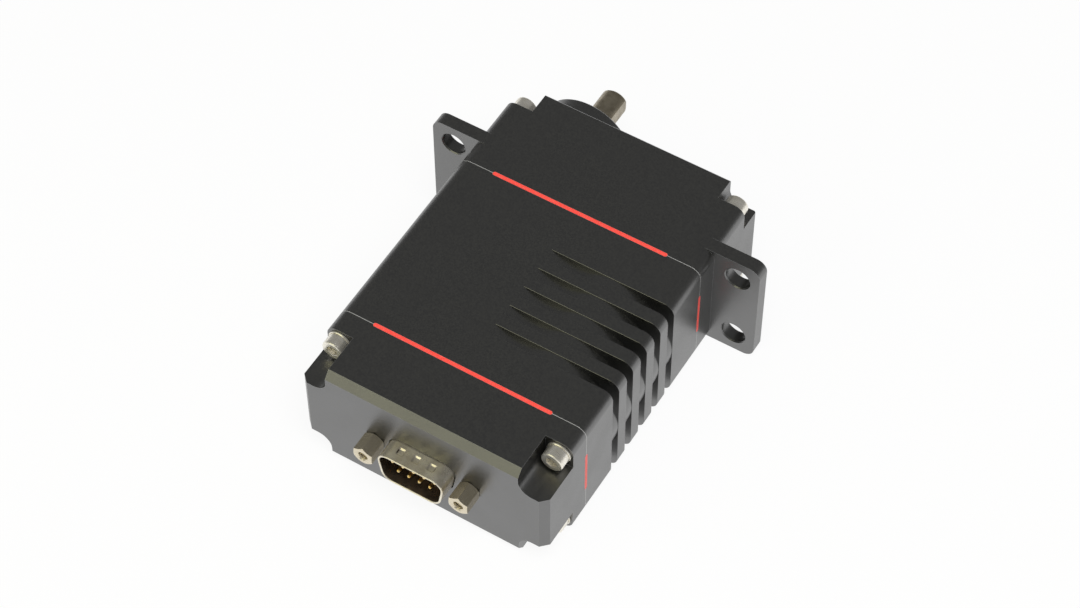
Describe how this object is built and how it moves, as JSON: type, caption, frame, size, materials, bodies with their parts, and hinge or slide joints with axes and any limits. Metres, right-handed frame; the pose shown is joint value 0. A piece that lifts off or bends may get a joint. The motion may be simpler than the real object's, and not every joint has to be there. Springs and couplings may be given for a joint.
{
  "type": "robot joint actuator",
  "caption": "Flat geared servo actuator with flatted output shaft, mounting ears, cooled motor side, sealed three-section metal housing and screw-lock serial connector.",
  "frame": {"origin": "on the output shaft's axis, in the plane of the round boss's front face", "axes": "+Y along the output shaft, out of the housing; +Z along the short height of the housing, with the cooling slots' side at +X"},
  "size_m": [0.0876, 0.1181, 0.0324],
  "materials": {
    "black_anodised_aluminium": "bead-blasted, black anodised",
    "red_silicone": "satin moulded",
    "stainless_steel": "bright turned",
    "hardened_steel": "ground and oiled",
    "bearing_steel": "polished",
    "gear_steel": "machined",
    "black_nitrile": "matt moulded",
    "electrical_steel": "stamped laminations",
    "enamelled_copper": "enamelled wire",
    "nickelled_magnet": "nickel plated",
    "circuit_board": "solder mask",
    "chip_epoxy": "moulded",
    "nickelled_steel": "nickel plated",
    "connector_plastic": "moulded",
    "gold_contacts": "gold plated"
  },
  "bodies": {
    "housing": {"bearing_clip": "hardened_steel", "clinch_nuts": "nickelled_steel", "connector_contacts": "gold_contacts", "connector_insulator": "connector_plastic", "connector_shell": "nickelled_steel", "controller_board": "circuit_board", "controller_chips": "chip_epoxy", "front_bearing_outer": "bearing_steel", "front_gasket": "red_silicone", "gear_housing": "black_anodised_aluminium", "gear_housing_screws": "stainless_steel", "gear_housing_washers": "stainless_steel", "idler_pin": "hardened_steel", "interface_board": "circuit_board", "jackscrews": "nickelled_steel", "motor_bearing_outer_races": "bearing_steel", "motor_can": "electrical_steel", "motor_front_cap": "electrical_steel", "motor_housing": "black_anodised_aluminium", "motor_rear_cap": "electrical_steel", "motor_screws": "stainless_steel", "rear_bearing_outer": "bearing_steel", "rear_cover": "black_anodised_aluminium", "rear_cover_screws": "stainless_steel", "rear_cover_washers": "stainless_steel", "rear_gasket": "red_silicone", "sensor_board": "circuit_board", "sensor_board_screws": "stainless_steel", "sensor_chip": "chip_epoxy", "shaft_seal": "black_nitrile", "stator_coils": "enamelled_copper", "stator_core": "electrical_steel"},
    "output": {"output_shaft": "hardened_steel", "output_gear": "gear_steel", "idler_retaining_ring": "hardened_steel", "front_bearing_inner": "bearing_steel", "rear_bearing_inner": "bearing_steel", "magnet_cup": "nickelled_magnet", "sensor_magnet": "nickelled_magnet"},
    "first_idler": {"first_idler_gear": "gear_steel"},
    "second_idler": {"second_idler_gear": "gear_steel"},
    "third_idler": {"third_idler_gear": "gear_steel"},
    "rotor": {"motor_shaft": "hardened_steel", "rotor_core": "electrical_steel", "rotor_magnets": "nickelled_magnet", "motor_pinion": "gear_steel", "motor_bearing_inner_races": "bearing_steel"}
  },
  "joints": [
    {"name": "output_turn", "type": "hinge", "parent": "housing", "child": "output", "pos_m": [0, 0, 0], "axis": [0, 1, 0], "range_deg": [-90, 90]},
    {"name": "third_idler_turn", "type": "hinge", "parent": "housing", "child": "third_idler", "pos_m": [0.016, 0, 0], "axis": [0, 1, 0], "range_deg": [-210, 210]},
    {"name": "second_idler_turn", "type": "hinge", "parent": "housing", "child": "second_idler", "pos_m": [0, 0, 0], "axis": [0, 1, 0], "range_deg": [-630, 630]},
    {"name": "first_idler_turn", "type": "hinge", "parent": "housing", "child": "first_idler", "pos_m": [0.016, 0, 0], "axis": [0, 1, 0], "range_deg": [-1610, 1610]},
    {"name": "rotor_turn", "type": "hinge", "parent": "housing", "child": "rotor", "pos_m": [0.0325, 0, 0], "axis": [0, 1, 0], "range_deg": [-5031.25, 5031.25]}
  ],
  "couplings": [
    {"joint": "third_idler_turn", "follows": "output_turn", "ratio": -2.3333},
    {"joint": "second_idler_turn", "follows": "output_turn", "ratio": 7},
    {"joint": "first_idler_turn", "follows": "output_turn", "ratio": -17.889},
    {"joint": "rotor_turn", "follows": "output_turn", "ratio": 55.903}
  ]
}
